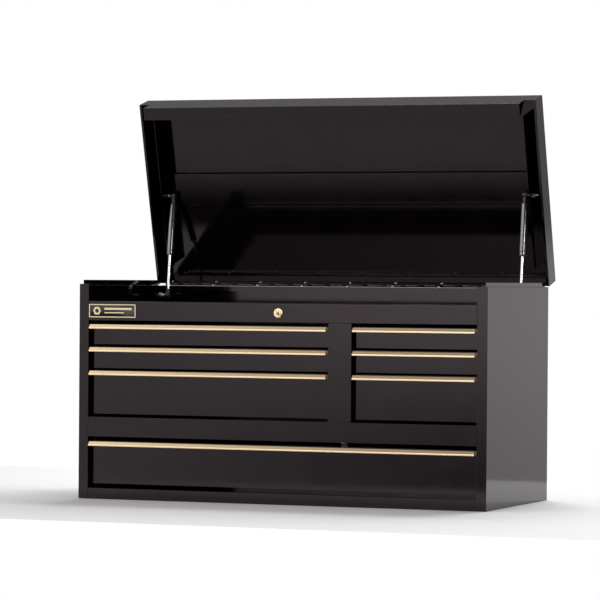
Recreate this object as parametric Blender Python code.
"""A top tool chest: a folded steel case with seven drawers, a till and a lid on two gas struts.

Metres, +Z up, +X to the right, and the drawers face -Y. The origin is the centre of the base.
The object stands as in use: the lid is open on its struts and every drawer is shut.
"""

import math

import bmesh
import bpy
from mathutils import Matrix, Vector

# The case
WIDTH = 1.054
DEPTH = 0.472
SHEET = 0.0012
LID_SHEET = 0.0010
DRAWER_SHEET = 0.0009
GAP = 0.0003
POST_WIDTH = 0.025
POST_RETURN = 0.020
SHOULDER_Z = 0.526
RIM_INSET = 0.0068
RIM_HEIGHT = 0.010
RIM_SETBACK = 0.008
BACK_FLANGE_WIDTH = 0.020
BACK_FLANGE_TOP_Z = 0.522
PAN_FLANGE = 0.015
RAIL_RETURN = 0.015

# The front frame, from the floor up and from the left
BOTTOM_RAIL_TOP_Z = 0.0262
MIDDLE_RAIL_Z = (0.1525, 0.2007)
HEADER_Z = (0.437, 0.484)
HEADER_DEPTH = 0.040
HEADER_BEND = 0.004
LEFT_BANK_WIDTH = 0.630
STILE_WIDTH = 0.059
SHELF_Z = 0.176
TILL_FLOOR_Z = 0.4415

# Each row of drawers, from the bottom of its front to the top of its pull
BANK_ROWS = {"top": (0.3785, 0.4290), "middle": (0.3200, 0.3730), "lower": (0.2080, 0.3155)}
BOTTOM_ROW = (0.0370, 0.1420)
FRONT_RECESS = 0.017
FRONT_SIDE_GAP = 0.0038
TRAY_SIDE_GAP = 0.0139
TRAY_BACK_Y = 0.205
TRAY_TOP_DROP = 0.006
TRAY_FLOOR_RISE = 0.002
FRONT_TOP_DROP = 0.0005
FRONT_FLANGE = 0.022

# The pull, an extrusion along the top of each drawer front
PULL_SHEET = 0.0018
PULL_PROUD = 0.008
PULL_TOP_DROP = 0.0014
PULL_FACET_DEPTH = 0.0065
PULL_FACET_DROP = 0.0074
PULL_LIP = 0.0034
PULL_TONGUE = 0.010

# The drawer slides
SLIDE_Y = (-0.192, 0.203)
SLIDE_HEIGHT = 0.028
SLIDE_RISE_SHALLOW = 0.0025
SLIDE_RISE_DEEP = 0.040
SLIDE_DEPTH = 0.011
SLIDE_RUNNING_GAP = 0.0008
DEEP_DRAWER = 0.080
COLUMN_WIDTH = 0.040
COLUMN_REACH_Y = 0.190
COLUMN_Z = (0.0155, 0.436)
PARTITION_Y = (-0.186, 0.226)

# The lid, measured shut from the hinge's axis: along towards the front, and up
LID_WIDTH = 1.058
LID_HEIGHT = 0.055
LID_OPEN = math.radians(75)
LID_HEM = 0.006
SKIRT_DROP = 0.0415
SKIRT_LIP = 0.031
SKIRT_HEM = 0.006
SKIRT_SIDE_GAP = 0.002
STIFFENER_ALONG = 0.2395
STIFFENER_CROWN = 0.080
STIFFENER_SLOPE = 0.003
STIFFENER_RETURN = 0.012
STIFFENER_HEIGHT = 0.006
STIFFENER_HALF_LENGTH = 0.4915
RAIL_X = 0.4925
RAIL_SHEET = 0.0012
RAIL_RIM = 0.0006
RAIL_FOOT = 0.016
RAIL_ALONG = (0.045, 0.432)

# The piano hinge
HINGE_Y = DEPTH / 2
HINGE_Z = 0.526
HINGE_HALF_LENGTH = 0.505
KNUCKLES = 20
KNUCKLE_RADIUS = 0.0035
KNUCKLE_BORE = 0.00175
KNUCKLE_GAP = 0.0004
PIN_RADIUS = 0.0014
LEAF_SHEET = 0.001
LEAF_WIDTH = 0.022
LEAF_NOTCH = 0.004

# The gas struts
STRUT_X = 0.474
CASE_STUD_ALONG = 0.058
CASE_STUD_DROP = 0.028
LID_STUD_ALONG = 0.2255
LID_STUD_UP = 0.034
SOCKET_RADIUS = 0.008
SOCKET_X = (0.467, 0.480)
SOCKET_BORE_END_X = 0.4685
SOCKET_BORE = 0.0053
SOCKET_NECK = 0.016
HEAD_NECK = 0.0212
BALL_RADIUS = 0.0049
SHANK_RADIUS = 0.0032
THREAD_RADIUS = 0.0025
HEX_RADIUS = 0.006
CASE_HEX_X = (0.490, 0.498)
LID_HEX_X = (0.487, 0.493)
FLANGE_LENGTH = 0.004
FLANGE_RADIUS = 0.0045
NUT_LENGTH = 0.005
THREAD_END_X = 0.508
BRACKET_FACE_X = 0.503
BRACKET_HALF_WIDTH = 0.014
BRACKET_HALF_HEIGHT = 0.010
TUBE_RADIUS = 0.009
TUBE_BORE = 0.0045
TUBE_LENGTH = 0.131
ROD_RADIUS = 0.004
ROD_END = 0.152
TUBE_CLOSED_END = 0.003

# The lock, in the middle of the header
LOCK_Z = 0.459
BEZEL_RADIUS = 0.0115
BEZEL_THICKNESS = 0.003
BARREL_RADIUS = 0.009
BARREL_LENGTH = 0.025
PLUG_RADIUS = 0.006
PLUG_CLEARANCE = 0.0003
KEYWAY = (0.0016, 0.0080, 0.0100)
CAM_RADIUS = 0.0105
CAM_THICKNESS = 0.002
CAM_PIN_RADIUS = 0.002
LOCK_TRAVEL = 0.0084
LOCK_BAR_Y = (-0.206, -0.203)
LOCK_BAR_X = (0.150, 0.165)
LOCK_BAR_FOOT_Z = 0.1505
LOCK_TAB_REACH = 0.0105
LOCK_TAB_HEIGHT = 0.006
LOCK_TAB_DROP = 0.0022
LUG_Y = -0.200
LUG_HEIGHT = 0.008
LUG_DROP = 0.010
LUG_REACH = 0.010

# The nameplate on the header
NAMEPLATE_X = (-0.501, -0.375)
NAMEPLATE_Z = (0.4437, 0.4773)
NAMEPLATE_THICKNESS = 0.0012

GRID_DIGITS = 6

# Worked out from the dimensions above
HALF_WIDTH = WIDTH / 2
FRONT_Y = -DEPTH / 2
BACK_Y = DEPTH / 2
OPENING_HALF = HALF_WIDTH - POST_WIDTH
STILE_X = (-OPENING_HALF + LEFT_BANK_WIDTH, -OPENING_HALF + LEFT_BANK_WIDTH + STILE_WIDTH)
INSIDE_HALF = HALF_WIDTH - SHEET - GAP
PANEL_Y = FRONT_Y + FRONT_RECESS
LID_HALF = LID_WIDTH / 2
CAM_THROW = LOCK_TRAVEL / math.sqrt(2)

MATERIALS = {
    "black_paint": ((0.016, 0.015, 0.016), 0.0, 0.32),
    "gold_anodised": ((0.72, 0.52, 0.27), 1.0, 0.24),
    "zinc_plate": ((0.62, 0.63, 0.64), 1.0, 0.35),
    "chrome": ((0.80, 0.80, 0.80), 1.0, 0.10),
    "brass": ((0.75, 0.58, 0.30), 1.0, 0.22),
    "strut_black": ((0.035, 0.035, 0.038), 0.2, 0.35),
    "nameplate_black": ((0.010, 0.010, 0.010), 0.0, 0.25),
}


def clear_scene():
    for obj in list(bpy.data.objects):
        bpy.data.objects.remove(obj, do_unlink=True)


def make_materials():
    made = {}
    for name, (colour, metallic, roughness) in MATERIALS.items():
        material = bpy.data.materials.new(name)
        material.use_nodes = True
        shader = material.node_tree.nodes["Principled BSDF"]
        shader.inputs["Base Color"].default_value = (*colour, 1.0)
        shader.inputs["Metallic"].default_value = metallic
        shader.inputs["Roughness"].default_value = roughness
        made[name] = material
    return made


# Solids: each of these returns an unnamed closed shape for solid_node to join or cut


def shape_from(bm):
    """The points are put on a fine grid, so that faces meant to lie in one plane really do."""
    for vert in bm.verts:
        vert.co = [round(value, GRID_DIGITS) for value in vert.co]
    bmesh.ops.recalc_face_normals(bm, faces=bm.faces)
    mesh = bpy.data.meshes.new("shape")
    bm.to_mesh(mesh)
    bm.free()
    shape = bpy.data.objects.new("shape", mesh)
    bpy.context.scene.collection.objects.link(shape)
    return shape


def box(x, y, z):
    """A block between two values on each axis, in either order."""
    low = Vector((min(x), min(y), min(z)))
    high = Vector((max(x), max(y), max(z)))
    bm = bmesh.new()
    place = Matrix.Translation((low + high) / 2) @ Matrix.Diagonal((*(high - low), 1.0))
    bmesh.ops.create_cube(bm, size=1.0, matrix=place)
    return shape_from(bm)


def cylinder(start, end, radius, sides=16):
    start, end = Vector(start), Vector(end)
    along = end - start
    bm = bmesh.new()
    place = Matrix.Translation((start + end) / 2) @ along.to_track_quat("Z", "Y").to_matrix().to_4x4()
    bmesh.ops.create_cone(
        bm, cap_ends=True, segments=sides, radius1=radius, radius2=radius, depth=along.length, matrix=place
    )
    return shape_from(bm)


def ball(centre, radius):
    bm = bmesh.new()
    bmesh.ops.create_uvsphere(
        bm, u_segments=14, v_segments=8, radius=radius, matrix=Matrix.Translation(centre)
    )
    return shape_from(bm)


def folded_outline(path, thickness):
    """The closed outline of a sheet folded along path, with its thickness on the path's left."""
    corners = [Vector(point) for point in path]
    inner = []
    for index, corner in enumerate(corners):
        before = (corner - corners[index - 1]).normalized() if index else None
        after = (corners[index + 1] - corner).normalized() if index + 1 < len(corners) else None
        before, after = before or after, after or before
        left_before = Vector((-before.y, before.x))
        left_after = Vector((-after.y, after.x))
        mitre = left_before + left_after
        inner.append(corner + mitre * (2 * thickness / mitre.length_squared))
    return corners + inner[::-1]


def prism(outline, axis, start, end):
    """An outline pushed along an axis. Its points are (y, z) for X, (x, z) for Y and (x, y) for Z."""
    index = "XYZ".index(axis)
    bm = bmesh.new()
    verts = []
    for first, second in outline:
        point = [first, second]
        point.insert(index, start)
        verts.append(bm.verts.new(point))
    face = bm.faces.new(verts)
    push = [0.0, 0.0, 0.0]
    push[index] = end - start
    moved = bmesh.ops.extrude_face_region(bm, geom=[face])["geom"]
    moved_verts = [item for item in moved if isinstance(item, bmesh.types.BMVert)]
    bmesh.ops.translate(bm, verts=moved_verts, vec=push)
    return shape_from(bm)


def folded_sheet(path, axis, start, end, thickness=SHEET):
    return prism(folded_outline(path, thickness), axis, start, end)


def tray(x, y, z, wall=SHEET):
    """A pan of sheet with its top open."""
    shape = box(x, y, z)
    bm = bmesh.new()
    bm.from_mesh(shape.data)
    top = max(bm.faces, key=lambda face: face.calc_center_median().z)
    bmesh.ops.inset_region(bm, faces=[top], thickness=wall, use_even_offset=True)
    moved = bmesh.ops.extrude_face_region(bm, geom=[top])["geom"]
    moved_verts = [item for item in moved if isinstance(item, bmesh.types.BMVert)]
    bmesh.ops.delete(bm, geom=[top], context="FACES_KEEP_BOUNDARY")
    bmesh.ops.translate(bm, verts=moved_verts, vec=(0, 0, -(abs(z[1] - z[0]) - wall)))
    bpy.data.objects.remove(shape, do_unlink=True)
    return shape_from(bm)


def apply_booleans(shape, others, operation):
    for other in others:
        modifier = shape.modifiers.new(operation.lower(), "BOOLEAN")
        modifier.operation = operation
        modifier.object = other


def solid_node(name, material, solids, holes=(), parent=None, smooth=False):
    """Joins the solids into one piece, cuts the holes out of it and gives it its name and finish."""
    node = solids[0]
    apply_booleans(node, solids[1:], "UNION")
    apply_booleans(node, holes, "DIFFERENCE")
    bpy.context.view_layer.update()
    evaluated = node.evaluated_get(bpy.context.evaluated_depsgraph_get())
    mesh = bpy.data.meshes.new_from_object(evaluated)
    node.modifiers.clear()
    node.data = mesh
    for helper in [*solids[1:], *holes]:
        bpy.data.objects.remove(helper, do_unlink=True)
    node.name = name
    mesh.name = name
    mesh.materials.clear()
    mesh.materials.append(material)
    if smooth:
        mesh.shade_smooth()
        mesh.set_sharp_from_angle(angle=math.radians(35))
    if parent:
        node.parent = parent
    else:
        centre_origin(node)
    return node


def centre_origin(node):
    corners = [Vector(corner) for corner in node.bound_box]
    centre = sum(corners, Vector()) / len(corners)
    node.data.transform(Matrix.Translation(-centre))
    node.location = centre


def joint_frame(name, location=(0, 0, 0), tilt=0.0, parent=None):
    """An empty that carries the pieces of one moving body, in its own axes."""
    frame = bpy.data.objects.new(name, None)
    frame.location = location
    frame.rotation_euler = (tilt, 0, 0)
    frame.parent = parent
    bpy.context.scene.collection.objects.link(frame)
    return frame


# The case


def add_side_panel(side, name, paint):
    """side is -1 on the left and 1 on the right. The front post is folded from the same sheet."""
    outer = side * HALF_WIDTH
    post_edge = side * OPENING_HALF
    rim = side * (HALF_WIDTH - RIM_INSET)
    rim_inner = rim - side * SHEET
    wall = box((outer, outer - side * SHEET), (FRONT_Y, BACK_Y), (0, SHOULDER_Z))
    post = box((outer, post_edge), (FRONT_Y, FRONT_Y + SHEET), (0, SHOULDER_Z))
    post_return = box(
        (post_edge, post_edge + side * SHEET), (FRONT_Y, FRONT_Y + POST_RETURN), (0, SHOULDER_Z)
    )
    shoulder = box((outer, rim_inner), (FRONT_Y, BACK_Y), (SHOULDER_Z - SHEET, SHOULDER_Z))
    post_cap = box(
        (outer, post_edge), (FRONT_Y, FRONT_Y + POST_RETURN), (SHOULDER_Z - SHEET, SHOULDER_Z)
    )
    rim_wall = box(
        (rim, rim_inner),
        (FRONT_Y + RIM_SETBACK, BACK_Y - RIM_SETBACK),
        (SHOULDER_Z - SHEET, SHOULDER_Z + RIM_HEIGHT),
    )
    back_flange = box(
        (outer, outer - side * BACK_FLANGE_WIDTH), (BACK_Y - SHEET, BACK_Y), (0, BACK_FLANGE_TOP_Z)
    )
    solids = [wall, post, post_return, shoulder, post_cap, rim_wall, back_flange]
    solid_node(name, paint, solids)


def add_case(materials):
    paint = materials["black_paint"]
    add_side_panel(-1, "left_side_panel", paint)
    add_side_panel(1, "right_side_panel", paint)

    back_y = BACK_Y - SHEET - GAP
    back_top = HINGE_Z - KNUCKLE_RADIUS - GAP
    flange_front = HINGE_Y - LEAF_WIDTH - SHEET
    back_path = [
        (back_y, SHEET + GAP),
        (back_y, back_top),
        (flange_front, back_top),
        (flange_front, back_top - 2 * RIM_INSET),
    ]
    solid_node("back_panel", paint, [folded_sheet(back_path, "X", -INSIDE_HALF, INSIDE_HALF)])

    pan_back = back_y - SHEET - GAP
    pan_front = FRONT_Y + SHEET + GAP
    base = tray((-INSIDE_HALF, INSIDE_HALF), (pan_front, pan_back), (0, PAN_FLANGE))
    front_gap = box(
        (-OPENING_HALF, OPENING_HALF), (pan_front - GAP, pan_front + 2 * SHEET), (SHEET, 2 * PAN_FLANGE)
    )
    post_notches = [
        box(
            (side * (OPENING_HALF - GAP), side * HALF_WIDTH),
            (FRONT_Y, FRONT_Y + POST_RETURN + GAP),
            (-SHEET, 2 * PAN_FLANGE),
        )
        for side in (-1, 1)
    ]
    solid_node("base_pan", paint, [base], [front_gap, *post_notches])

    rail_half = OPENING_HALF - GAP
    rail_back = FRONT_Y + RAIL_RETURN
    rail_path = [(rail_back, BOTTOM_RAIL_TOP_Z), (FRONT_Y, BOTTOM_RAIL_TOP_Z), (FRONT_Y, 0)]
    solid_node("bottom_rail", paint, [folded_sheet(rail_path, "X", -rail_half, rail_half)])

    low, high = MIDDLE_RAIL_Z
    middle_path = [(rail_back, high), (FRONT_Y, high), (FRONT_Y, low), (rail_back, low)]
    solid_node("middle_rail", paint, [folded_sheet(middle_path, "X", -rail_half, rail_half)])

    stile_path = [
        (STILE_X[0], rail_back),
        (STILE_X[0], FRONT_Y),
        (STILE_X[1], FRONT_Y),
        (STILE_X[1], rail_back),
    ]
    stile = folded_sheet(stile_path, "Z", high + GAP, HEADER_Z[0] - GAP)
    solid_node("centre_stile", paint, [stile])

    add_header(paint, rail_half)

    shelf_path = [
        (FRONT_Y + HEADER_DEPTH + GAP, SHELF_Z - RAIL_RETURN),
        (FRONT_Y + HEADER_DEPTH + GAP, SHELF_Z + SHEET),
        (pan_back, SHELF_Z + SHEET),
    ]
    shelf = folded_sheet(shelf_path[::-1], "X", -OPENING_HALF + GAP, OPENING_HALF - GAP)
    solid_node("divider_shelf", paint, [shelf])

    till_front = FRONT_Y + HEADER_DEPTH + GAP
    till = tray(
        (-INSIDE_HALF, INSIDE_HALF), (till_front, pan_back), (TILL_FLOOR_Z, TILL_FLOOR_Z + PAN_FLANGE)
    )
    front_opening = box(
        (-OPENING_HALF, OPENING_HALF),
        (till_front - SHEET, till_front + 2 * SHEET),
        (TILL_FLOOR_Z + SHEET, HEADER_Z[1]),
    )
    solid_node("till_floor", paint, [till], [front_opening])

    foot_back = till_front + RAIL_RETURN
    foot_z = TILL_FLOOR_Z + SHEET + GAP
    wall_path = [
        (foot_back, foot_z),
        (till_front, foot_z),
        (till_front, HEADER_Z[1] - SHEET - GAP),
    ]
    wall = folded_sheet(wall_path[::-1], "X", -rail_half, rail_half)
    solid_node("till_front_wall", paint, [wall])


def add_header(paint, rail_half):
    """The drawer front's top member: a face, a rounded bend, a flat top and a short bottom return."""
    low, high = HEADER_Z
    bend = [
        (
            FRONT_Y + HEADER_BEND * (1 - math.sin(turn)),
            high - HEADER_BEND * (1 - math.cos(turn)),
        )
        for turn in (math.pi / 8 * step for step in range(5))
    ]
    path = [(FRONT_Y + HEADER_DEPTH, high), *bend, (FRONT_Y, low), (FRONT_Y + RAIL_RETURN, low)]
    header = folded_sheet(path, "X", -rail_half, rail_half)
    lock_hole = cylinder(
        (0, FRONT_Y - SHEET, LOCK_Z),
        (0, FRONT_Y + 2 * SHEET, LOCK_Z),
        BARREL_RADIUS + 2 * GAP,
        24,
    )
    solid_node("front_header", paint, [header], [lock_hole])


# The drawers


def slide_bottom(row):
    low, high = row
    return low + (SLIDE_RISE_DEEP if high - low > DEEP_DRAWER else SLIDE_RISE_SHALLOW)


def outer_rail(face_x, side, row):
    """The fixed channel of a slide, open towards the drawer. side is 1 where the drawer lies at +X."""
    low = slide_bottom(row)
    root_x = face_x - side * SHEET / 2
    tip_x = face_x + side * SLIDE_DEPTH
    path = [(tip_x, low + SLIDE_HEIGHT), (root_x, low + SLIDE_HEIGHT), (root_x, low), (tip_x, low)]
    if side < 0:
        path.reverse()
    return folded_sheet(path, "Y", SLIDE_Y[0], SLIDE_Y[1])


def add_slide_column(side, name, zinc):
    """Two upright channels between the side panel and the openings' edge, with four fixed rails."""
    wall_x = side * INSIDE_HALF
    face_x = side * OPENING_HALF
    solids = []
    for front_y in (-COLUMN_REACH_Y, COLUMN_REACH_Y - COLUMN_WIDTH):
        path = [
            (wall_x, front_y),
            (face_x, front_y),
            (face_x, front_y + COLUMN_WIDTH),
            (wall_x, front_y + COLUMN_WIDTH),
        ]
        if side > 0:
            path.reverse()
        solids.append(folded_sheet(path, "Z", COLUMN_Z[0], COLUMN_Z[1]))
    for row in [*BANK_ROWS.values(), BOTTOM_ROW]:
        solids.append(outer_rail(face_x, -side, row))
    solid_node(name, zinc, solids)


def add_partition(zinc):
    """The double wall behind the centre stile, with three fixed rails on each face."""
    front_y, back_y = PARTITION_Y
    path = [(STILE_X[1], front_y), (STILE_X[1], back_y), (STILE_X[0], back_y), (STILE_X[0], front_y)]
    walls = folded_sheet(path, "Z", SHELF_Z + SHEET + GAP, COLUMN_Z[1])
    solids = [walls]
    for row in BANK_ROWS.values():
        solids.append(outer_rail(STILE_X[0], -1, row))
        solids.append(outer_rail(STILE_X[1], 1, row))
    solid_node("centre_partition", zinc, solids)


def drawer_front_and_tray(opening, row):
    left, right = opening
    low, high = row
    plate = box(
        (left + FRONT_SIDE_GAP, right - FRONT_SIDE_GAP),
        (PANEL_Y, PANEL_Y + DRAWER_SHEET),
        (low, high - FRONT_TOP_DROP),
    )
    body = tray(
        (left + TRAY_SIDE_GAP, right - TRAY_SIDE_GAP),
        (PANEL_Y + DRAWER_SHEET / 2, TRAY_BACK_Y),
        (low + TRAY_FLOOR_RISE, high - TRAY_TOP_DROP),
        DRAWER_SHEET,
    )
    top_flange = box(
        (left + TRAY_SIDE_GAP + DRAWER_SHEET, right - TRAY_SIDE_GAP - DRAWER_SHEET),
        (PANEL_Y + DRAWER_SHEET / 2, PANEL_Y + DRAWER_SHEET + FRONT_FLANGE),
        (high - FRONT_TOP_DROP - DRAWER_SHEET, high - FRONT_TOP_DROP),
    )
    return [plate, body, top_flange]


def lock_lug(opening, row, lug_side):
    """The small ear beside a drawer that the lock bar's tab stands in front of when it is locked."""
    high = row[1]
    edge = opening[1] if lug_side > 0 else opening[0]
    wall_x = edge - lug_side * (TRAY_SIDE_GAP + DRAWER_SHEET / 2)
    return box(
        (wall_x, wall_x + lug_side * LUG_REACH),
        (LUG_Y, LUG_Y + DRAWER_SHEET),
        (high - LUG_DROP - LUG_HEIGHT, high - LUG_DROP),
    )


def pull_outline(row):
    """The extrusion's section in (y, z): tongue, shelf, sloped facet and hanging lip."""
    high = row[1] - PULL_TOP_DROP
    tongue_y = PANEL_Y - GAP
    lip_y = FRONT_Y - PULL_PROUD
    path = [
        (tongue_y, high - PULL_TONGUE),
        (tongue_y, high),
        (lip_y + PULL_FACET_DEPTH, high),
        (lip_y, high - PULL_FACET_DROP),
        (lip_y, high - PULL_FACET_DROP - PULL_LIP),
    ]
    return folded_outline(path, PULL_SHEET)


def inner_slide(opening, row, side):
    """The channel fixed to the drawer, running inside the fixed rail. side is -1 on the left."""
    edge = opening[0] if side < 0 else opening[1]
    low = slide_bottom(row) + SHEET + SLIDE_RUNNING_GAP
    high = slide_bottom(row) + SLIDE_HEIGHT - SHEET - SLIDE_RUNNING_GAP
    web_x = edge - side * (TRAY_SIDE_GAP - GAP)
    tip_x = edge - side * (SHEET + 2 * SLIDE_RUNNING_GAP)
    path = [(tip_x, low), (web_x, low), (web_x, high), (tip_x, high)]
    if side > 0:
        path.reverse()
    return folded_sheet(path, "Y", SLIDE_Y[0], SLIDE_Y[1])


def add_drawer(name, opening, row, lug, materials):
    frame = joint_frame(f"{name}_travel")
    solids = [*drawer_front_and_tray(opening, row), lug]
    solid_node(f"{name}_box", materials["black_paint"], solids, parent=frame)
    left, right = opening[0] + FRONT_SIDE_GAP, opening[1] - FRONT_SIDE_GAP
    pull = prism(pull_outline(row), "X", left, right)
    solid_node(f"{name}_pull", materials["gold_anodised"], [pull], parent=frame)
    for side, label in ((-1, "left"), (1, "right")):
        slide = inner_slide(opening, row, side)
        solid_node(f"{name}_slide_{label}", materials["zinc_plate"], [slide], parent=frame)


def add_drawers(materials):
    left_bank = (-OPENING_HALF, STILE_X[0])
    right_bank = (STILE_X[1], OPENING_HALF)
    for row_name, row in BANK_ROWS.items():
        add_drawer(f"left_{row_name}_drawer", left_bank, row, lock_lug(left_bank, row, 1), materials)
        add_drawer(f"right_{row_name}_drawer", right_bank, row, lock_lug(right_bank, row, -1), materials)
    high = BOTTOM_ROW[1]
    bottom_lug = box(
        LOCK_BAR_X,
        (LUG_Y, LUG_Y + DRAWER_SHEET),
        (high - FRONT_TOP_DROP - DRAWER_SHEET, LOCK_BAR_FOOT_Z - SHEET),
    )
    add_drawer("bottom_drawer", (-OPENING_HALF, OPENING_HALF), BOTTOM_ROW, bottom_lug, materials)


# The lid and its hinge, in axes whose origin is on the hinge pin with the lid shut


def knuckle_spans(first):
    """The stretches along X of every second knuckle, counted from first."""
    pitch = 2 * HINGE_HALF_LENGTH / KNUCKLES
    for index in range(first, KNUCKLES, 2):
        start = -HINGE_HALF_LENGTH + index * pitch
        yield start + KNUCKLE_GAP / 2, start + pitch - KNUCKLE_GAP / 2


def hinge_bore():
    reach = HINGE_HALF_LENGTH + KNUCKLE_RADIUS
    return cylinder((-reach, 0, 0), (reach, 0, 0), KNUCKLE_BORE, 12)


def add_hinge(materials, case_frame, lid_frame):
    paint = materials["black_paint"]
    reach = HINGE_HALF_LENGTH
    case_solids = [
        box((-reach, reach), (-LEAF_WIDTH, -LEAF_NOTCH), (-KNUCKLE_RADIUS, -KNUCKLE_RADIUS + LEAF_SHEET))
    ]
    for start, end in knuckle_spans(0):
        case_solids.append(cylinder((start, 0, 0), (end, 0, 0), KNUCKLE_RADIUS, 12))
        case_solids.append(
            box((start, end), (-LEAF_NOTCH - LEAF_SHEET, 0), (-KNUCKLE_RADIUS, -KNUCKLE_RADIUS + LEAF_SHEET))
        )
    solid_node("hinge_leaf_case", paint, case_solids, [hinge_bore()], case_frame, smooth=True)

    lid_solids = [
        box((-reach, reach), (-KNUCKLE_RADIUS, -KNUCKLE_RADIUS + LEAF_SHEET), (LEAF_NOTCH, LEAF_WIDTH))
    ]
    for start, end in knuckle_spans(1):
        lid_solids.append(cylinder((start, 0, 0), (end, 0, 0), KNUCKLE_RADIUS, 12))
        lid_solids.append(
            box((start, end), (-KNUCKLE_RADIUS, -KNUCKLE_RADIUS + LEAF_SHEET), (0, LEAF_NOTCH + LEAF_SHEET))
        )
    solid_node("hinge_leaf_lid", paint, lid_solids, [hinge_bore()], lid_frame, smooth=True)
    pin = cylinder((-reach, 0, 0), (reach, 0, 0), PIN_RADIUS, 12)
    solid_node("hinge_pin", materials["zinc_plate"], [pin], parent=case_frame, smooth=True)


def add_lid(materials, lid_frame):
    paint = materials["black_paint"]
    top = LID_HEIGHT
    rim = GAP
    front = -DEPTH
    back = -KNUCKLE_RADIUS + LEAF_SHEET + GAP
    skirt_half = OPENING_HALF - SKIRT_SIDE_GAP
    skirt_low = -SKIRT_DROP
    wall_top = top - LID_SHEET / 2
    solids = [
        box((-LID_HALF, LID_HALF), (front, back + LID_SHEET), (top - LID_SHEET, top)),
        box((-LID_HALF, LID_HALF), (front, front + LID_SHEET), (rim, wall_top)),
        box((-LID_HALF, LID_HALF), (back, back + LID_SHEET), (KNUCKLE_RADIUS + GAP, wall_top)),
        box((-skirt_half, skirt_half), (front, front + LID_SHEET), (skirt_low, rim + LID_SHEET)),
        box((-skirt_half, skirt_half), (front, front + SKIRT_LIP), (skirt_low, skirt_low + LID_SHEET)),
        box(
            (-skirt_half, skirt_half),
            (front + SKIRT_LIP - LID_SHEET, front + SKIRT_LIP),
            (skirt_low, skirt_low + SKIRT_HEM),
        ),
    ]
    for side in (-1, 1):
        outer = side * LID_HALF
        hem_y = (front + LID_SHEET / 2, -LEAF_WIDTH)
        solids.append(box((outer, outer - side * LID_SHEET), (front, back + LID_SHEET), (rim, wall_top)))
        solids.append(box((outer, outer - side * LID_HEM), hem_y, (rim, rim + LID_SHEET)))
    solid_node("lid_shell", paint, solids, parent=lid_frame)

    ceiling = top - LID_SHEET - GAP
    crown = ceiling - STIFFENER_HEIGHT
    centre = -STIFFENER_ALONG
    half_crown = STIFFENER_CROWN / 2
    half_foot = half_crown + STIFFENER_SLOPE
    channel_path = [
        (centre - half_foot + STIFFENER_RETURN, ceiling),
        (centre - half_foot, ceiling),
        (centre - half_crown, crown),
        (centre + half_crown, crown),
        (centre + half_foot, ceiling),
        (centre + half_foot - STIFFENER_RETURN, ceiling),
    ]
    half_length = STIFFENER_HALF_LENGTH
    channel = folded_sheet(channel_path, "X", -half_length, half_length, LID_SHEET)
    solid_node("lid_stiffener", paint, [channel], parent=lid_frame)


# The gas struts


def stud(side, y, z, thread_x, hex_x, tip_x, ball_radius=None):
    """A stud that points inwards at the strut: thread, hexagon, flange and shank, and a ball if it has one."""
    flange_x = hex_x[0] - FLANGE_LENGTH
    spans = [
        (thread_x, hex_x[1] - GAP, THREAD_RADIUS, 12),
        (hex_x[1], hex_x[0], HEX_RADIUS, 6),
        (hex_x[0] + GAP, flange_x, FLANGE_RADIUS, 16),
        (hex_x[0], tip_x, SHANK_RADIUS, 12),
    ]
    solids = [
        cylinder((side * start, y, z), (side * end, y, z), radius, sides) for start, end, radius, sides in spans
    ]
    if ball_radius:
        solids.append(ball((side * tip_x, y, z), ball_radius))
    return solids


def case_bracket(side, y, z):
    """The block inside the case's wall that holds the lower stud."""
    return box(
        (side * INSIDE_HALF, side * BRACKET_FACE_X),
        (y - BRACKET_HALF_WIDTH, y + BRACKET_HALF_WIDTH),
        (z - BRACKET_HALF_HEIGHT, z + BRACKET_HALF_HEIGHT),
    )


def lid_rail(side):
    """The L-shaped rail up one side of the lid, with the nut of the strut's upper stud behind it."""
    ceiling = LID_HEIGHT - LID_SHEET - GAP
    span = (-RAIL_ALONG[1], -RAIL_ALONG[0])
    web_x = side * RAIL_X
    behind_x = side * (RAIL_X + RAIL_SHEET)
    web = box((web_x, behind_x), span, (RAIL_RIM, ceiling))
    foot = box((web_x, side * (RAIL_X + RAIL_FOOT)), span, (ceiling - RAIL_SHEET, ceiling))
    nut_end = side * (RAIL_X + RAIL_SHEET + NUT_LENGTH)
    nut_start = side * (RAIL_X + GAP)
    nut = cylinder(
        (nut_start, -LID_STUD_ALONG, LID_STUD_UP), (nut_end, -LID_STUD_ALONG, LID_STUD_UP), HEX_RADIUS, 6
    )
    return [web, foot, nut]


def strut_socket(side, height, open_bore):
    """The end fitting round a stud, in the strut's own axes, with its axle along X."""
    near, far = side * SOCKET_X[0], side * SOCKET_X[1]
    solids = [cylinder((near, 0, height), (far, 0, height), SOCKET_RADIUS, 18)]
    if not open_bore:
        return solids, []
    bore = cylinder(
        (side * SOCKET_BORE_END_X, 0, height), (far + side * SOCKET_RADIUS, 0, height), SOCKET_BORE, 14
    )
    return solids, [bore]


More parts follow.
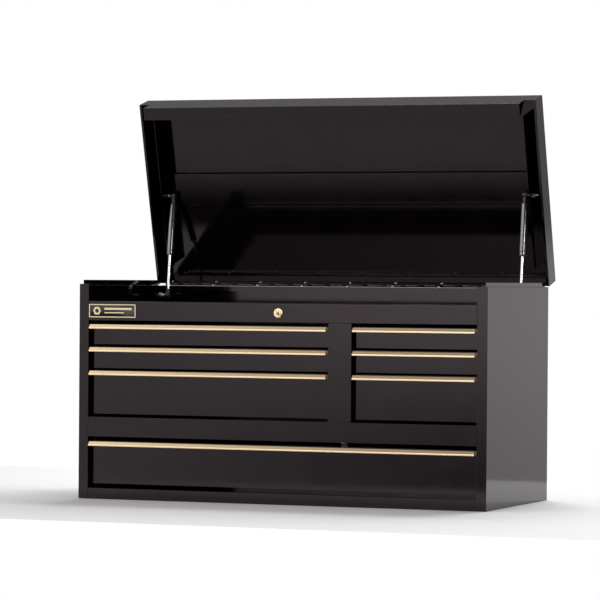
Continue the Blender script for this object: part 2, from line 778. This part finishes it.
def add_struts(materials, lid_frame):
    case_stud_y = HINGE_Y - CASE_STUD_ALONG
    case_stud_z = HINGE_Z - CASE_STUD_DROP
    lid_stud = Matrix.Rotation(-LID_OPEN, 3, "X") @ Vector((0, -LID_STUD_ALONG, LID_STUD_UP))
    along = lid_stud + Vector((0, CASE_STUD_ALONG, CASE_STUD_DROP))
    tilt = math.atan2(-along.y, along.z)
    length = along.length
    tube_top = length - HEAD_NECK - GAP
    tube_low = tube_top - TUBE_LENGTH
    for side, label in ((-1, "left"), (1, "right")):
        thread_x = BRACKET_FACE_X + GAP
        case_stud = stud(side, case_stud_y, case_stud_z, thread_x, CASE_HEX_X, STRUT_X, BALL_RADIUS)
        case_stud.append(case_bracket(side, case_stud_y, case_stud_z))
        solid_node(f"ball_stud_case_{label}", materials["zinc_plate"], case_stud, smooth=True)
        tip_x = SOCKET_X[1] + 2 * GAP
        rail = lid_rail(side) + stud(side, -LID_STUD_ALONG, LID_STUD_UP, THREAD_END_X, LID_HEX_X, tip_x)
        solid_node(f"lid_rail_{label}", materials["black_paint"], rail, parent=lid_frame, smooth=True)

        frame = joint_frame(f"strut_{label}_swing", (0, case_stud_y, case_stud_z), tilt)
        x = side * STRUT_X
        socket, bore = strut_socket(side, 0, True)
        rod = cylinder((x, 0, SOCKET_RADIUS / 2), (x, 0, ROD_END), ROD_RADIUS, 14)
        neck = cylinder((x, 0, SOCKET_RADIUS * 0.75), (x, 0, SOCKET_NECK), SOCKET_RADIUS * 0.75, 14)
        solid_node(f"strut_rod_{label}", materials["chrome"], [*socket, neck, rod], bore, frame, smooth=True)

        socket, _ = strut_socket(side, length, False)
        tube = cylinder((x, 0, tube_low), (x, 0, tube_top), TUBE_RADIUS, 18)
        neck = cylinder(
            (x, 0, tube_top - GAP), (x, 0, length - SOCKET_RADIUS / 2), SOCKET_RADIUS * 0.75, 14
        )
        tube_bore = cylinder(
            (x, 0, tube_low - SHEET), (x, 0, tube_top - TUBE_CLOSED_END), TUBE_BORE, 14
        )
        solid_node(
            f"strut_cylinder_{label}",
            materials["strut_black"],
            [tube, neck, *socket],
            [tube_bore],
            frame,
            smooth=True,
        )


# The lock


def add_lock(materials):
    face_y = FRONT_Y - GAP
    barrel_end = FRONT_Y + BARREL_LENGTH
    bezel = cylinder((0, face_y, LOCK_Z), (0, face_y - BEZEL_THICKNESS, LOCK_Z), BEZEL_RADIUS, 28)
    barrel = cylinder((0, face_y - GAP, LOCK_Z), (0, barrel_end, LOCK_Z), BARREL_RADIUS, 24)
    bore = cylinder(
        (0, face_y - 2 * BEZEL_THICKNESS, LOCK_Z),
        (0, barrel_end + BEZEL_THICKNESS, LOCK_Z),
        PLUG_RADIUS + PLUG_CLEARANCE,
        20,
    )
    solid_node("lock_body", materials["brass"], [bezel, barrel], [bore], smooth=True)

    turn_frame = joint_frame("lock_turn", (0, FRONT_Y, LOCK_Z))
    plug_front = face_y - BEZEL_THICKNESS - FRONT_Y
    plug_end = BARREL_LENGTH + 2 * GAP
    plug = cylinder((0, plug_front, 0), (0, plug_end, 0), PLUG_RADIUS, 20)
    slot_width, slot_height, slot_depth = KEYWAY
    keyway = box(
        (-slot_width / 2, slot_width / 2),
        (plug_front - slot_depth, plug_front + slot_depth),
        (-slot_height / 2, slot_height / 2),
    )
    solid_node("lock_plug", materials["brass"], [plug], [keyway], turn_frame, smooth=True)

    cam_y = plug_end + GAP
    throw = CAM_THROW / math.sqrt(2)
    pin_end = LOCK_BAR_Y[1] - FRONT_Y
    cam = cylinder((0, cam_y, 0), (0, cam_y + CAM_THICKNESS, 0), CAM_RADIUS, 24)
    cam_pin = cylinder((throw, cam_y + GAP, throw), (throw, pin_end, throw), CAM_PIN_RADIUS, 12)
    solid_node("lock_cam", materials["zinc_plate"], [cam, cam_pin], parent=turn_frame, smooth=True)

    pin_z = LOCK_Z + throw
    arm_half = CAM_PIN_RADIUS + 4 * SHEET
    strip = box(LOCK_BAR_X, LOCK_BAR_Y, (LOCK_BAR_FOOT_Z, pin_z + arm_half))
    arm = box((-CAM_THROW, LOCK_BAR_X[1]), LOCK_BAR_Y, (pin_z - arm_half, pin_z + arm_half))
    solids = [strip, arm]
    for _, high in BANK_ROWS.values():
        tab_top = high - LOCK_TAB_DROP
        tab_x = (STILE_X[0] - LOCK_TAB_REACH, STILE_X[1] + LOCK_TAB_REACH)
        solids.append(box(tab_x, LOCK_BAR_Y, (tab_top - LOCK_TAB_HEIGHT, tab_top)))
    slot_reach = CAM_PIN_RADIUS + 2 * GAP
    slot = box(
        (throw - slot_reach, CAM_THROW + slot_reach),
        (LOCK_BAR_Y[0] - SHEET, LOCK_BAR_Y[1] + SHEET),
        (pin_z - slot_reach, pin_z + slot_reach),
    )
    bar_frame = joint_frame("lock_bar_travel")
    solid_node("lock_bar", materials["zinc_plate"], solids, [slot], bar_frame)


def add_nameplate(materials):
    back = FRONT_Y - GAP
    plate = box(NAMEPLATE_X, (back - NAMEPLATE_THICKNESS, back), NAMEPLATE_Z)
    solid_node("nameplate", materials["nameplate_black"], [plate])


def main():
    clear_scene()
    materials = make_materials()
    add_case(materials)
    add_slide_column(-1, "left_slide_column", materials["zinc_plate"])
    add_slide_column(1, "right_slide_column", materials["zinc_plate"])
    add_partition(materials["zinc_plate"])
    add_drawers(materials)
    case_frame = joint_frame("hinge_axis", (0, HINGE_Y, HINGE_Z))
    lid_frame = joint_frame("lid_swing", (0, HINGE_Y, HINGE_Z), -LID_OPEN)
    add_hinge(materials, case_frame, lid_frame)
    add_lid(materials, lid_frame)
    add_struts(materials, lid_frame)
    add_lock(materials)
    add_nameplate(materials)


main()
